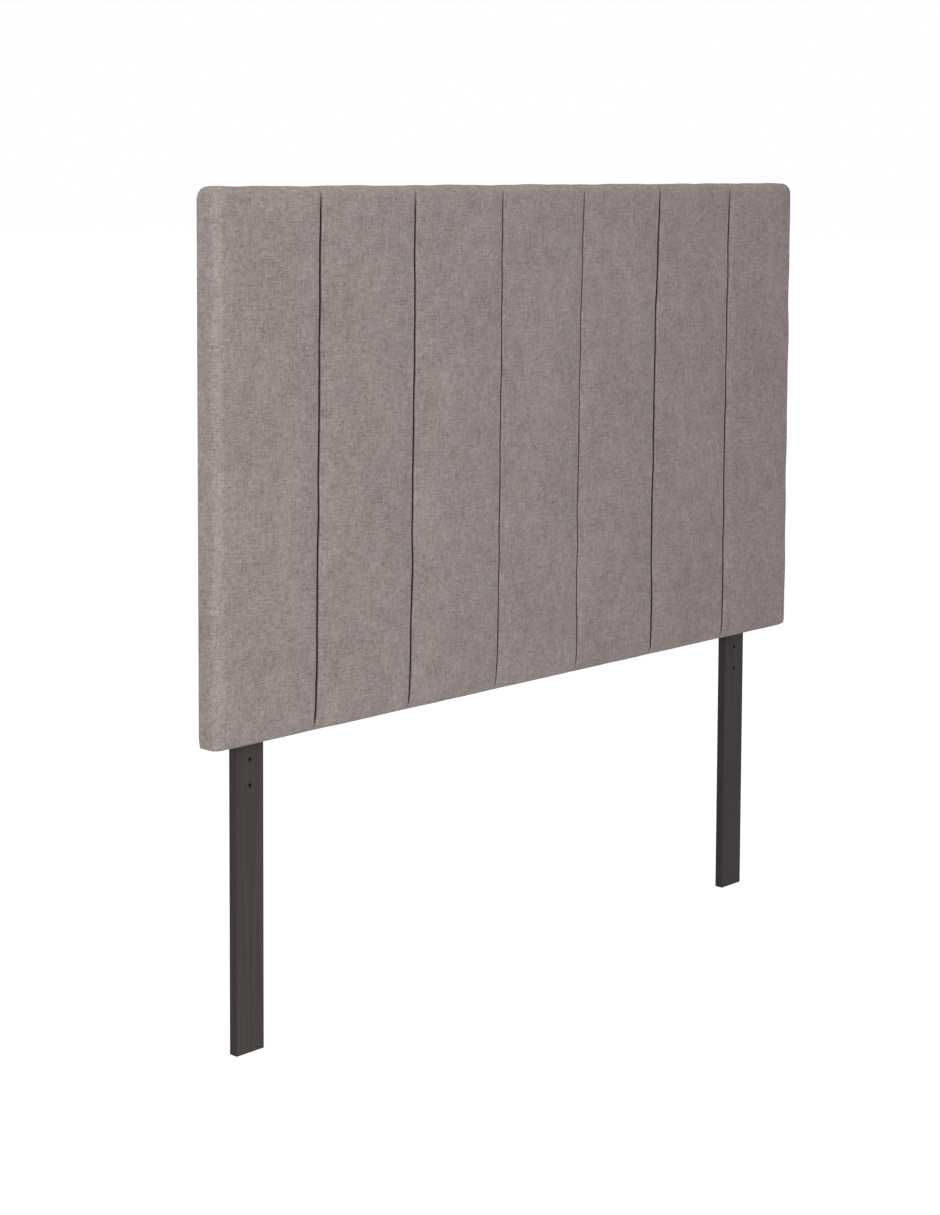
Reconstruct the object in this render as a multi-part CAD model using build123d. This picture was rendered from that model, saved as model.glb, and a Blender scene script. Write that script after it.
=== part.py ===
"""Upholstered headboard with seven vertical channels on two wooden legs.

X runs across the headboard, Y from its front to its back and Z upwards. The origin is on the
floor, at the middle of the width and of the whole depth. All sizes are in millimetres.
"""
from build123d import *
import math
import os

# Panel
panel_width = 1575.0
panel_height = 914.0
panel_depth = 50.0
underside_height = 536.0
top_corner_radius = 20.0
bottom_corner_radius = 7.0
front_edge_radius = 17.0
back_edge_radius = 4.0

# Cloth cover with its channels and tucked seams
channel_count = 7
channel_crown = 1.6
channel_flat_width = 60.0
seam_roll_radius = 4.0
cloth_thickness = 1.2
cloth_gap = 0.2
hem_width = 36.0

# Dust cloth
dust_thickness = 0.6
dust_margin = 12.0

# Frame, face board and wadding
wadding_thickness = 4.0
frame_thickness = 22.0
rail_height = 65.0
side_stile_width = 60.0
centre_stile_width = 60.0
batten_width = 70.0
board_thickness = 4.0
board_gap = 0.1

# Dowels of the frame
dowel_diameter = 8.0
dowel_length = 50.0
dowel_gap = 0.1
dowel_spacing = 30.0

# Legs
leg_width = 62.0
leg_thickness = 18.0
leg_inset = 84.0
leg_arris_radius = 1.5
foot_chamfer = 1.0

# Rows of holes in the legs
bolt_hole_diameter = 7.0
hole_pitch = 44.0
holes_per_row = 4
bolt_edge_distance = 18.6
row_rise = 264.0
leg_top_margin = 40.0

# Leg bolts and washers
bolt_diameter = 6.0
bolt_length = 40.0
bolt_head_diameter = 11.0
bolt_head_height = 3.3
bolt_head_rounding = 1.8
bolt_socket_width = 4.0
bolt_socket_depth = 2.0
washer_diameter = 18.0
washer_hole_diameter = 6.6
washer_thickness = 1.6

# Pronged nuts
nut_flange_diameter = 19.0
nut_flange_thickness = 1.5
nut_barrel_diameter = 7.8
nut_barrel_length = 10.0
nut_bore_gap = 0.05
nut_prong_count = 4
nut_prong_width = 3.0
nut_prong_thickness = 1.2
nut_prong_length = 7.0
nut_gap = 0.1

# Staples
staple_crown = 12.0
staple_wire_width = 1.2
staple_wire_thickness = 0.6
staple_leg_length = 8.0
back_staple_inset = 24.0
back_staple_pitch = 74.0
board_staple_pitch = 130.0
staple_clearance = 6.0

# One overrun serves all cuts
overrun = 5.0

# Heights
panel_bottom = underside_height
panel_top = panel_bottom + panel_height
panel_middle = (panel_bottom + panel_top) / 2

# Depths, from the front to the back
overall_depth = panel_depth + leg_thickness + washer_thickness + bolt_head_height
panel_front = -overall_depth / 2
panel_back = panel_front + panel_depth
hem_back = panel_back - dust_thickness
frame_back = hem_back - cloth_thickness
frame_front = frame_back - frame_thickness
board_back = frame_front - board_gap
board_front = board_back - board_thickness
leg_front = panel_back
leg_back = leg_front + leg_thickness
head_seat = leg_back + washer_thickness

# Layers inside the cover, as insets from its outer face
padding_inset = cloth_thickness + cloth_gap
frame_inset = padding_inset + wadding_thickness + cloth_gap

# Places across the width
channel_width = panel_width / channel_count
frame_side = panel_width / 2 - frame_inset
leg_middle = panel_width / 2 - leg_inset - leg_width / 2

# Places up the height
frame_bottom = panel_bottom + frame_inset
frame_top = panel_top - frame_inset
stile_bottom = frame_bottom + rail_height
stile_top = frame_top - rail_height
lower_bolt_height = stile_bottom - bolt_edge_distance
upper_bolt_height = lower_bolt_height + row_rise
lowest_hole_height = lower_bolt_height - (holes_per_row - 1) * hole_pitch
leg_top = upper_bolt_height + leg_top_margin

bolt_places = [
    (side * leg_middle, height)
    for side in (-1, 1)
    for height in (lower_bolt_height, upper_bolt_height)
]


def block(x_low, x_high, y_low, y_high, z_low, z_high):
    """Plain box between two corners."""
    middle = ((x_low + x_high) / 2, (y_low + y_high) / 2, (z_low + z_high) / 2)
    return Pos(*middle) * Box(x_high - x_low, y_high - y_low, z_high - z_low)


def along_y(diameter, y_low, y_high, x, z):
    """Round bar or hole along Y."""
    length = y_high - y_low
    return Pos(x, (y_low + y_high) / 2, z) * Rot(90, 0, 0) * Cylinder(diameter / 2, length)


def panel_slab(inset, y_low, y_high):
    """Slab with the panel's outline, drawn in by the inset. Its lower corners are the sharper."""
    outline = Rectangle(panel_width - 2 * inset, panel_height - 2 * inset)
    # The outline's own Y points down once it stands in the plane below
    upper_corners = outline.vertices().group_by(Axis.Y)[0]
    outline = fillet(upper_corners, top_corner_radius - inset)
    lower_corners = outline.vertices().group_by(Axis.Y)[-1]
    outline = fillet(lower_corners, bottom_corner_radius - inset)
    plane = Plane(origin=(0, y_low, panel_middle), x_dir=(1, 0, 0), z_dir=(0, 1, 0))
    return extrude(plane * outline, y_high - y_low)


def padded_form(inset, y_back):
    """Soft outer form of the panel, drawn in by the inset, with its front and back edges rounded."""
    form = panel_slab(inset, panel_front + inset, y_back)
    front = form.faces().sort_by(Axis.Y)[0]
    form = fillet(front.edges(), front_edge_radius - inset)
    back = form.faces().sort_by(Axis.Y)[-1]
    return fillet(back.edges(), back_edge_radius - inset)


def channel_column(index, inset, y_back):
    """Upright column with a channel's plan: flat in the middle of its front, then crowned down to
    rolls into the seams."""
    left = -panel_width / 2 + index * channel_width + inset
    right = -panel_width / 2 + (index + 1) * channel_width - inset
    flat_left = (left + right - channel_flat_width) / 2
    flat_right = (left + right + channel_flat_width) / 2
    front = panel_front + inset
    low = front + channel_crown
    roll = seam_roll_radius - inset
    deep = low + roll
    diagonal = roll * math.sqrt(0.5)
    is_first = index == 0
    is_last = index == channel_count - 1
    edges = []
    if is_first:
        left = -panel_width / 2 - overrun
        flat_left = left
        edges.append(Line((left, y_back), (left, front)))
    else:
        turn = (left + roll - diagonal, deep - diagonal)
        edges.append(Line((left, y_back), (left, deep)))
        edges.append(ThreePointArc((left, deep), turn, (left + roll, low)))
        edges.append(TangentArc((flat_left, front), (left + roll, low), tangent=(-1, 0)))
    if is_last:
        right = panel_width / 2 + overrun
        flat_right = right
        edges.append(Line((right, front), (right, y_back)))
    else:
        turn = (right - roll + diagonal, deep - diagonal)
        edges.append(TangentArc((flat_right, front), (right - roll, low), tangent=(1, 0)))
        edges.append(ThreePointArc((right - roll, low), turn, (right, deep)))
        edges.append(Line((right, deep), (right, y_back)))
    edges.append(Line((flat_left, front), (flat_right, front)))
    edges.append(Line((right, y_back), (left, y_back)))
    plan = make_face(edges)
    height = panel_height + 2 * overrun
    return Pos(0, 0, panel_bottom - overrun) * extrude(plan, height)


def staple(x, y, z, upright, direction):
    """Staple whose crown lies outside y and whose legs go in along the direction, +1 or -1."""
    crown_half = staple_crown / 2
    wire = staple_wire_width
    outside = y - direction * staple_wire_thickness
    inside = y + direction * (staple_leg_length - staple_wire_thickness)
    y_crown = sorted((outside, y))
    y_legs = sorted((outside, inside))
    if upright:
        crown = block(x - wire / 2, x + wire / 2, *y_crown, z - crown_half, z + crown_half)
        low = block(x - wire / 2, x + wire / 2, *y_legs, z - crown_half, z - crown_half + wire)
        high = block(x - wire / 2, x + wire / 2, *y_legs, z + crown_half - wire, z + crown_half)
    else:
        crown = block(x - crown_half, x + crown_half, *y_crown, z - wire / 2, z + wire / 2)
        low = block(x - crown_half, x - crown_half + wire, *y_legs, z - wire / 2, z + wire / 2)
        high = block(x + crown_half - wire, x + crown_half, *y_legs, z - wire / 2, z + wire / 2)
    return crown + low + high


def spread(low, high, pitch):
    """Even places from low to high, about a pitch apart."""
    steps = max(1, round((high - low) / pitch))
    return [low + (high - low) * step / steps for step in range(steps + 1)]


def back_staple_group():
    """Staples round the back, through the dust cloth and the cover's hem, clear of the legs."""
    side = panel_width / 2 - back_staple_inset
    low = panel_bottom + back_staple_inset
    high = panel_top - back_staple_inset
    reach = leg_width / 2 + staple_crown / 2 + staple_clearance
    group = []
    for x in spread(-side + back_staple_pitch / 2, side - back_staple_pitch / 2, back_staple_pitch):
        group.append(staple(x, panel_back, high, False, -1))
        if abs(abs(x) - leg_middle) > reach:
            group.append(staple(x, panel_back, low, False, -1))
    for z in spread(low + back_staple_pitch / 2, high - back_staple_pitch / 2, back_staple_pitch):
        group.append(staple(-side, panel_back, z, True, -1))
        group.append(staple(side, panel_back, z, True, -1))
    return group


def board_staple_group():
    """Staples that hold the face board, driven flush, along the rails and stiles."""
    flush = board_front + staple_wire_thickness
    keep_off = nut_flange_diameter / 2 + staple_crown / 2 + staple_clearance
    low = frame_bottom + rail_height / 2
    high = frame_top - rail_height / 2
    side = frame_side - side_stile_width / 2
    group = []
    for x in spread(-side, side, board_staple_pitch):
        for z in (low, high):
            if all(math.dist((x, z), place) > keep_off for place in bolt_places):
                group.append(staple(x, flush, z, False, 1))
    for z in spread(stile_bottom + rail_height, stile_top - rail_height, board_staple_pitch):
        for x in (-side, 0, side):
            group.append(staple(x, flush, z, True, 1))
    return group


def stile_middles():
    """Middles of the five upright members and their widths."""
    side = frame_side - side_stile_width / 2
    return {
        "side_stile_left": (-side, side_stile_width),
        "leg_batten_left": (-leg_middle, batten_width),
        "centre_stile": (0, centre_stile_width),
        "leg_batten_right": (leg_middle, batten_width),
        "side_stile_right": (side, side_stile_width),
    }


def dowel_group(gap):
    """Dowels across the ends of every upright, or with a gap the holes that take them."""
    depth = (frame_front + frame_back) / 2
    group = []
    for x, _ in stile_middles().values():
        for z in (stile_bottom, stile_top):
            for side in (-1, 1):
                place = Pos(x + side * dowel_spacing / 2, depth, z)
                group.append(place * Cylinder(dowel_diameter / 2 + gap, dowel_length + 2 * gap))
    return group


def pronged_nut(x, z, gap):
    """Pronged nut pressed into the frame's front, or with a gap the seat cut for it."""
    flange_end = frame_front + nut_flange_thickness
    barrel_end = frame_front + nut_barrel_length + gap
    nut = along_y(nut_flange_diameter + 2 * gap, frame_front, flange_end + gap, x, z)
    nut += along_y(nut_barrel_diameter + 2 * gap, frame_front, barrel_end, x, z)
    prong_radius = nut_flange_diameter / 2 - nut_prong_thickness
    for number in range(nut_prong_count):
        angle = 360 * number / nut_prong_count
        prong = block(
            -nut_prong_width / 2 - gap,
            nut_prong_width / 2 + gap,
            frame_front,
            frame_front + nut_prong_length + gap,
            prong_radius - gap,
            prong_radius + nut_prong_thickness * math.sqrt(0.5) + gap,
        )
        nut += Pos(x, 0, z) * Rot(0, angle, 0) * prong
    return nut


def leg_bolt(x, z):
    """Button-head bolt that goes in from the back of the leg."""
    tip = head_seat - bolt_length
    head = along_y(bolt_head_diameter, head_seat, head_seat + bolt_head_height, x, z)
    rim = head.edges().filter_by(GeomType.CIRCLE).sort_by(Axis.Y)[-1]
    head = fillet(rim, bolt_head_rounding)
    socket_plane = Plane(
        origin=(x, head_seat + bolt_head_height - bolt_socket_depth, z),
        x_dir=(1, 0, 0),
        z_dir=(0, 1, 0),
    )
    socket = RegularPolygon(bolt_socket_width / 2, 6, major_radius=False)
    head -= extrude(socket_plane * socket, bolt_socket_depth + overrun)
    return head + along_y(bolt_diameter, tip, head_seat, x, z)


def leg_washer(x, z):
    """Flat washer between the bolt head and the leg."""
    washer = along_y(washer_diameter, leg_back, head_seat, x, z)
    return washer - along_y(washer_hole_diameter, leg_back - overrun, head_seat + overrun, x, z)


def bolt_hole(x, z, y_low, y_high):
    """Clearance hole for a leg bolt."""
    return along_y(bolt_hole_diameter, y_low - overrun, y_high + overrun, x, z)


def leg(side):
    """Flat leg board with two rows of bolt holes; the bolts use the top hole of each row."""
    x = side * leg_middle
    board = block(x - leg_width / 2, x + leg_width / 2, leg_front, leg_back, 0, leg_top)
    board = fillet(board.edges().filter_by(Axis.Z), leg_arris_radius)
    board = chamfer(board.faces().sort_by(Axis.Z)[0].edges(), foot_chamfer)
    for row in range(2):
        for number in range(holes_per_row):
            z = lowest_hole_height + row * row_rise + number * hole_pitch
            board -= bolt_hole(x, z, leg_front, leg_back)
    return board


def touching(piece, tools):
    """Those tools whose boxes meet the piece's box."""
    box = piece.bounding_box()
    return [tool for tool in tools if box.overlaps(tool.bounding_box())]


def cut(piece, tools):
    """The piece with every tool that reaches it cut away."""
    near = touching(piece, tools)
    return piece.cut(*near) if near else piece


def cover_panels(staples):
    """Seven cloth widths: crowned in front, tucked at the seams and hemmed on the frame's back."""
    outer = padded_form(0, hem_back)
    inner = padded_form(cloth_thickness, frame_back)
    wide = panel_width
    behind_board = block(-wide, wide, board_front, hem_back, 0, panel_top + overrun)
    frame_space = inner & behind_board
    opening = block(
        -panel_width / 2 + hem_width,
        panel_width / 2 - hem_width,
        frame_back - overrun,
        hem_back + overrun,
        panel_bottom + hem_width,
        panel_top - hem_width,
    )
    panels = []
    for index in range(channel_count):
        panel = outer & channel_column(index, 0, hem_back + overrun)
        panel -= inner & channel_column(index, cloth_thickness, board_front)
        panel -= frame_space
        panel -= opening
        panels.append(cut(panel.solids()[0], staples))
    return panels


def foam_pads():
    """Foam pad behind each cloth width, from the face board to the cloth."""
    form = padded_form(padding_inset, frame_back)
    return [
        form & channel_column(index, padding_inset, board_front)
        for index in range(channel_count)
    ]


def edge_wadding():
    """Soft band round the edges of the frame and the face board."""
    wide = panel_width
    band = padded_form(padding_inset, frame_back)
    band &= block(-wide, wide, board_front, frame_back, 0, panel_top + overrun)
    hole = panel_slab(frame_inset - cloth_gap, board_front - overrun, frame_back + overrun)
    return band - hole


def frame_members(staples):
    """Rails, stiles and battens, bored for dowels and nuts and with the staples' slots."""
    outline = panel_slab(frame_inset, frame_front, frame_back)
    members = {
        "bottom_rail": block(
            -frame_side, frame_side, frame_front, frame_back, frame_bottom, stile_bottom
        ),
        "top_rail": block(-frame_side, frame_side, frame_front, frame_back, stile_top, frame_top),
    }
    for name, (x, width) in stile_middles().items():
        members[name] = block(
            x - width / 2, x + width / 2, frame_front, frame_back, stile_bottom, stile_top
        )
    tools = dowel_group(dowel_gap) + staples
    for x, z in bolt_places:
        tools.append(pronged_nut(x, z, nut_gap))
        tools.append(bolt_hole(x, z, frame_front, frame_back))
    return {name: cut(member & outline, tools) for name, member in members.items()}


def face_board(staples):
    """Thin board over the whole frame."""
    return cut(panel_slab(frame_inset, board_front, board_back), staples)


def dust_cover(staples):
    """Thin cloth over the back, with holes for the leg bolts."""
    side = panel_width / 2 - dust_margin
    low = panel_bottom + dust_margin
    cloth = block(-side, side, hem_back, panel_back, low, panel_top - dust_margin)
    holes = [bolt_hole(x, z, hem_back, panel_back) for x, z in bolt_places]
    return cut(cloth, staples + holes)


def bored_nut(x, z):
    """Pronged nut with the bore that the bolt screws into."""
    bore_end = frame_front + nut_barrel_length + overrun
    bore = along_y(bolt_diameter + 2 * nut_bore_gap, frame_front - overrun, bore_end, x, z)
    return pronged_nut(x, z, 0) - bore


def all_parts():
    """Every sub-part by name."""
    back_staples = back_staple_group()
    board_staples = board_staple_group()
    parts = {}
    for index, panel in enumerate(cover_panels(back_staples)):
        parts[f"cover_panel_{index + 1}"] = panel
    for index, pad in enumerate(foam_pads()):
        parts[f"foam_pad_{index + 1}"] = pad
    parts["edge_wadding"] = edge_wadding()
    parts["face_board"] = face_board(board_staples)
    parts.update(frame_members(back_staples + board_staples))
    parts["frame_dowels"] = Compound(children=dowel_group(0))
    parts["board_staples"] = Compound(children=board_staples)
    parts["back_staples"] = Compound(children=back_staples)
    parts["dust_cover"] = dust_cover(back_staples)
    parts["t_nuts"] = Compound(children=[bored_nut(x, z) for x, z in bolt_places])
    parts["leg_bolts"] = Compound(children=[leg_bolt(x, z) for x, z in bolt_places])
    parts["leg_washers"] = Compound(children=[leg_washer(x, z) for x, z in bolt_places])
    parts["leg_left"] = leg(-1)
    parts["leg_right"] = leg(1)
    return parts


os.makedirs("parts", exist_ok=True)
for name, part in all_parts().items():
    export_step(part, f"parts/{name}.step")
    print(name, len(part.solids()), round(part.volume))
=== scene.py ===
"""Upholstered headboard with seven vertical channels on two flat wooden legs.

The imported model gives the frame, and this script dresses it. Lengths are in metres. +X runs across
the headboard, +Y from its cloth front to the legs and +Z upwards.
"""
import math

import bpy
import numpy as np
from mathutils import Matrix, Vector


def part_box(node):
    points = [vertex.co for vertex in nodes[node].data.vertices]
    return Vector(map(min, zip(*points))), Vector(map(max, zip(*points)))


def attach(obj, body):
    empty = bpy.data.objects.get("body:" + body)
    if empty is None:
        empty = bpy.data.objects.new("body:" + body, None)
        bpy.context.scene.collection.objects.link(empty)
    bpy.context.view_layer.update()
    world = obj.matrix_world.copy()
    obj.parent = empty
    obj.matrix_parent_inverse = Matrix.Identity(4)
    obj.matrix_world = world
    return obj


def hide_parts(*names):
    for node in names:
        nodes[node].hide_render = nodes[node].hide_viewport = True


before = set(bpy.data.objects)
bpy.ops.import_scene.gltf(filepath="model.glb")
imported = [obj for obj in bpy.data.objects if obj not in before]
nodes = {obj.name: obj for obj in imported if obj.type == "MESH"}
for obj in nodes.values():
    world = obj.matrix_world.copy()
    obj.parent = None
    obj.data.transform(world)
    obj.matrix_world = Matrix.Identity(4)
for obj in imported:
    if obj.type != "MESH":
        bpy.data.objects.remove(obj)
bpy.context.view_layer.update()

scene = bpy.context.scene
MM = 0.001
SEED = 7
# A length that counts as none, and how far equal places may differ
TINY = 1e-9
CLOSE = 1e-6

# Places that the frame gives
PANEL_LEFT, PANEL_FRONT, PANEL_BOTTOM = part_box("cover_panel_1")[0]
PANEL_RIGHT, HEM_BACK, PANEL_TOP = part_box("cover_panel_7")[1]
PANEL_MIDDLE = (PANEL_BOTTOM + PANEL_TOP) / 2
BOARD_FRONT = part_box("face_board")[0].y
FRAME_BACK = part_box("top_rail")[1].y
DUST_LOW, DUST_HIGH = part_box("dust_cover")
LEG_LOW, LEG_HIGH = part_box("leg_right")
LEG_MIDDLE = (LEG_LOW.x + LEG_HIGH.x) / 2
LEG_HALF = (LEG_HIGH.x - LEG_LOW.x) / 2
WASHERS_LOW, WASHERS_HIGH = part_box("leg_washers")
CHANNELS = 7
CHANNEL_WIDTH = (PANEL_RIGHT - PANEL_LEFT) / CHANNELS
SEAMS = PANEL_LEFT + CHANNEL_WIDTH * np.arange(1, CHANNELS)

# Upholstered form
CORNER_RADIUS = 20 * MM
LOW_CORNER_RADIUS = 7 * MM
FRONT_RADIUS = 17 * MM
BACK_RADIUS = 4 * MM
CLOTH_THICKNESS = 1.2 * MM
PADDING_INSET = 1.4 * MM
WADDING_THICKNESS = 4 * MM
WADDING_NOTCH = 2.8 * MM
WADDING_SIDES = 24
WADDING_POWERS = 0.5, 0.35

# Channels: the crown between two seams, and the tuck where two cloths meet
CROWN = 1.6 * MM
CROWN_POWER = 3
TUCK_RADIUS = 4 * MM
TUCK_MOUTHS = np.array([2.9, 2.8, 1.5, 1.4, 3.4, 2.7]) * MM
TUCK_GAP = 0.2 * MM
TUCK_CLOSE = 3 * MM
TUCK_TURN_SHARE = 0.4
TUCK_LEAN_SHARES = np.array([0, 0, 0, 0.45])
TUCK_TOP_SHARE = 0.35
TUCK_LOW_SHARE = 0.15
TUCK_HEM_SHARE = 0.1
WALL_TOP_SHARE = 0.12
WALL_HEM_SHARE = 0.02
# Painted shade in the seams: the share of the tuck's roll where the darkened colour starts, how much
# it fades near the edges, and over what reach at the top and at the bottom
SHADE_START = 0.25
SHADE_FADE = 0.85
FADE_TOP = 40 * MM
FADE_BOTTOM = 24 * MM
SEAM_WAVES = [0.41, 0.19, 0.083]
SEAM_SWAYS = np.array([0.4, 0.3, 0.15]) * MM
SEAM_BEND = 9 * MM
SEAM_BEND_REACH = 20 * MM
# How far each seam stands to the right at three heights above the middle, as in the photograph
SEAM_HEIGHTS = [-0.3, 0, 0.38]
SEAM_LEANS = MM * np.array(
    [[0, 4, 8], [2.5, 7, 10], [4.5, 8, 10.5], [0, 2, 10], [-0.5, 1, 10.5], [4.5, 5.5, 10]]
)

# Unevenness: swells of the foam, gathers beside the seams and pleats round the corners, and the
# shares by which it calms down at the bottom and the top, where the cloth is pulled straight
SWELL_WAVES = np.array([[0.26, 0.41], [0.15, 0.22], [0.11, -0.17], [0.075, 0.12]])
SWELL_HEIGHT = 0.28 * MM
GATHER_WAVES = np.array([61, 38, 27]) * MM
GATHER_HEIGHT = 0.7 * MM
GATHER_REACH = 16 * MM
GATHER_EDGE = 60 * MM
GATHER_PLAIN_SHARE = 0.35
CALM_BOTTOM = 0.7
CALM_TOP = 0.5
PLEAT_ANGLES = np.radians([17, 38, 56, 74])
PLEAT_WIDTH = math.radians(5)
PLEAT_DEPTH = 0.9 * MM
PLEAT_LEAST_SHARE = 0.3

# Grids: places near an edge, the pitch elsewhere, and how far apart two widths lie on the map of
# the cloth, so that no two show the same stretch of it
EDGE_LINES = np.array([0, 1.4, 2.7, 4, 8.5, 13, 17, 20, 25.5, 31, 36]) * MM
GRID_PITCH = 9 * MM
ROW_PITCH = 7 * MM
WIDTH_STEP = 1.7
DUST_LINES = np.array([0.3, 2, 5, 9, 13, 18, 24]) * MM
DUST_PITCH = 11 * MM
HOLE_LINES = np.array([-14, -9.5, -5, 0, 5, 9.5, 14]) * MM

# Dust cloth: its turned-in hem and its layers
DUST_HEM = 15 * MM
DUST_LAYER = 0.22 * MM
DUST_THICKNESS = 0.18 * MM
DUST_LIFT = 0.5 * MM
DUST_LIFT_REACH = 22 * MM
DUST_SLACK = 0.004
DUST_CAP = 1.3 * MM
DUST_HOLD = 13.5 * MM
BOLT_HOLE_RADIUS = 3.5 * MM

# Cloth simulation, and how far the cover may rise, or sink into its padding
SETTLE_STEPS = 20
SETTLE_QUALITY = 6
CLOTH_MASS = 0.2
CLOTH_STIFFNESS = 0.3
COVER_PRESSURE = 1.0
COVER_CAP = 1.5 * MM
COVER_FIRM = 0.1 * MM

# Staples in the back
STAPLE_INSET = 24 * MM
STAPLE_PITCH = 74 * MM
STAPLE_CROWN = 12 * MM
STAPLE_WIDE = 1.2 * MM
STAPLE_THICK = 0.6 * MM
STAPLE_LEG = 8 * MM
STAPLE_BEND = 0.9 * MM
STAPLE_CLEARANCE = 6 * MM
STAPLE_TILT = math.radians(2.5)
STAPLE_SIDES = 8
STAPLE_POINT_SHARE = 0.25
STAPLE_SHANK_SHARE = 0.8

# Camera, worked out from edges measured in the photograph's 940 x 1215 frame
PHOTO_HEIGHT = 1215
FOCAL_PIXELS = 2503.6
CAMERA_PLACE = (-3.44516, -3.02059, 1.49257)
CAMERA_AZIMUTH = math.radians(-47.485)
CAMERA_PITCH = math.radians(4.643)
CAMERA_ROLL = math.radians(0.269)
CAMERA_SHIFT = -0.2
SENSOR = 36

# Studio: light of the surroundings and glow of the floor
WORLD_LIGHT = 0.385
FLOOR_REACH = 40.0
FLOOR_GLOW = 1.28
FLOOR_GLOW_SHARE = 0.75

# Patterns: where the colour drifts redder along the map of the cloth, how far the cloth is drawn
# paler over the front edges (partly the pile opening at a bend, partly a painted highlight), and
# the wood's growth bands and pores
REDDER_DRIFT = 6.5, 10.2
EDGE_PILE_AND_HIGHLIGHT = 0.04
BAND_LENGTH = 900 * MM
BAND_RINGS = 6
BAND_TURNS = 38.0
PORE_LENGTH = 26 * MM


def linear(code):
    """Linear RGBA of an sRGB hex colour."""
    values = np.array([int(code[i : i + 2], 16) for i in (1, 3, 5)]) / 255
    bright = ((values + 0.055) / 1.055) ** 2.4
    return (*np.where(values <= 0.04045, values / 12.92, bright).tolist(), 1.0)


def add(owner, kind, inputs=None, out=0, **settings):
    """Adds a node with its settings and gives the output asked for. Sockets among the inputs are
    linked, and other values are set."""
    tree = owner.node_tree
    made = tree.nodes.new(kind)
    for name, value in settings.items():
        setattr(made, name, value)
    for key, value in (inputs or {}).items():
        if isinstance(value, bpy.types.NodeSocket):
            tree.links.new(value, made.inputs[key])
        else:
            made.inputs[key].default_value = value
    return made.outputs[out] if made.outputs else None


def new_material(name):
    """Material with an empty node tree."""
    material = bpy.data.materials.new(name)
    material.use_nodes = True
    material.node_tree.nodes.clear()
    return material


def finish_material(material, colour, roughness, relief=None, others=None):
    """Adds the shader and the output. Relief is a pattern and how far it rises."""
    inputs = {"Base Color": colour, "Roughness": roughness, **(others or {})}
    if relief:
        heights = {"Height": relief[0], "Distance": relief[1]}
        inputs["Normal"] = add(material, "ShaderNodeBump", heights)
    shader = add(material, "ShaderNodeBsdfPrincipled", inputs)
    add(material, "ShaderNodeOutputMaterial", {"Surface": shader})
    return material


def noise(material, place, sizes, detail=2, roughness=0.6):
    """Noise whose features have these real sizes along the three directions of the place."""
    scale = [1 / size for size in sizes]
    mapped = add(material, "ShaderNodeMapping", {"Vector": place, "Scale": scale})
    inputs = {"Vector": mapped, "Scale": 1.0, "Detail": detail, "Roughness": roughness}
    return add(material, "ShaderNodeTexNoise", inputs)


def weighed(material, patterns):
    """Sum of patterns by their weights, with 0.5 where every pattern is at its middle."""
    total = 0.5 - sum(weight for _, weight in patterns) / 2
    for pattern, weight in patterns:
        inputs = {0: pattern, 1: weight, 2: total}
        total = add(material, "ShaderNodeMath", inputs, operation="MULTIPLY_ADD")
    return total


def shade(material, factor, first, second):
    """Colour between two others, each a socket or an sRGB hex value."""
    first, second = (linear(end) if isinstance(end, str) else end for end in (first, second))
    inputs = {"Factor": factor, "A": first, "B": second}
    return add(material, "ShaderNodeMix", inputs, 2, data_type="RGBA")


def chenille():
    """Woven polyester chenille in taupe grey. Its short pile has a dull sheen, light and dark tufts,
    upright yarn streaks, short weft lines and soft marks where it leans. The yarns are about 1.8 mm
    wide, and the tufts are drawn near twice as coarse, so that they show. To the right the colour
    drifts to a redder tone. Where the cloth bends over the front edges it is drawn paler, partly for
    the pile opening there and partly as a painted highlight, and inside a seam its colour is
    darkened with painted shade of its own folds."""
    material = new_material("chenille_cloth")
    place = add(material, "ShaderNodeUVMap", uv_map="cloth")
    tuft = noise(material, place, (3.4 * MM, 2.6 * MM, 1), 3, 0.75)
    warp = noise(material, place, (3.2 * MM, 34 * MM, 1))
    weft = noise(material, place, (30 * MM, 2.6 * MM, 1))
    clump = noise(material, place, (9 * MM, 8 * MM, 1))
    mottle = noise(material, place, (26 * MM, 34 * MM, 1), 3)
    lean = noise(material, place, (110 * MM, 190 * MM, 1))
    tint = noise(material, place, (45 * MM, 60 * MM, 1))
    across = add(material, "ShaderNodeSeparateXYZ", {0: place})
    # The colour turns redder towards the right-hand widths
    start, end = REDDER_DRIFT
    inputs = {"Value": across, "From Min": start, "From Max": end, "To Min": 1.0, "To Max": 0.0}
    drift = add(material, "ShaderNodeMapRange", inputs)
    tint = add(material, "ShaderNodeMath", {0: tint, 1: drift}, operation="MULTIPLY")
    patterns = [(tuft, 1.5), (warp, 0.5), (weft, 0.5), (clump, 0.7), (mottle, 0.45), (lean, 0.3)]
    total = weighed(material, patterns)
    # The bend mark makes the rounded front edges paler: partly the pile opening there, partly a
    # painted highlight
    bend = add(material, "ShaderNodeAttribute", out="Fac", attribute_name="bend")
    inputs = {0: bend, 1: EDGE_PILE_AND_HIGHLIGHT, 2: total}
    opened_and_highlit = add(material, "ShaderNodeMath", inputs, operation="MULTIPLY_ADD")
    light = shade(material, tint, "#B9A7A5", "#B4AAA4")
    colour = shade(material, opened_and_highlit, "#675A57", light)
    # Painted shade: the tuck mark turns the colour towards near black inside the seams, in place of
    # the shade of the folds
    tuck = add(material, "ShaderNodeAttribute", out="Fac", attribute_name="tuck")
    painted_seam_shade = shade(material, tuck, colour, "#140E0D")
    pile = {"Specular IOR Level": 0.2, "Sheen Weight": 0.15, "Sheen Roughness": 0.5}
    return finish_material(material, painted_seam_shade, 0.95, (total, 0.8 * MM), pile)


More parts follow.
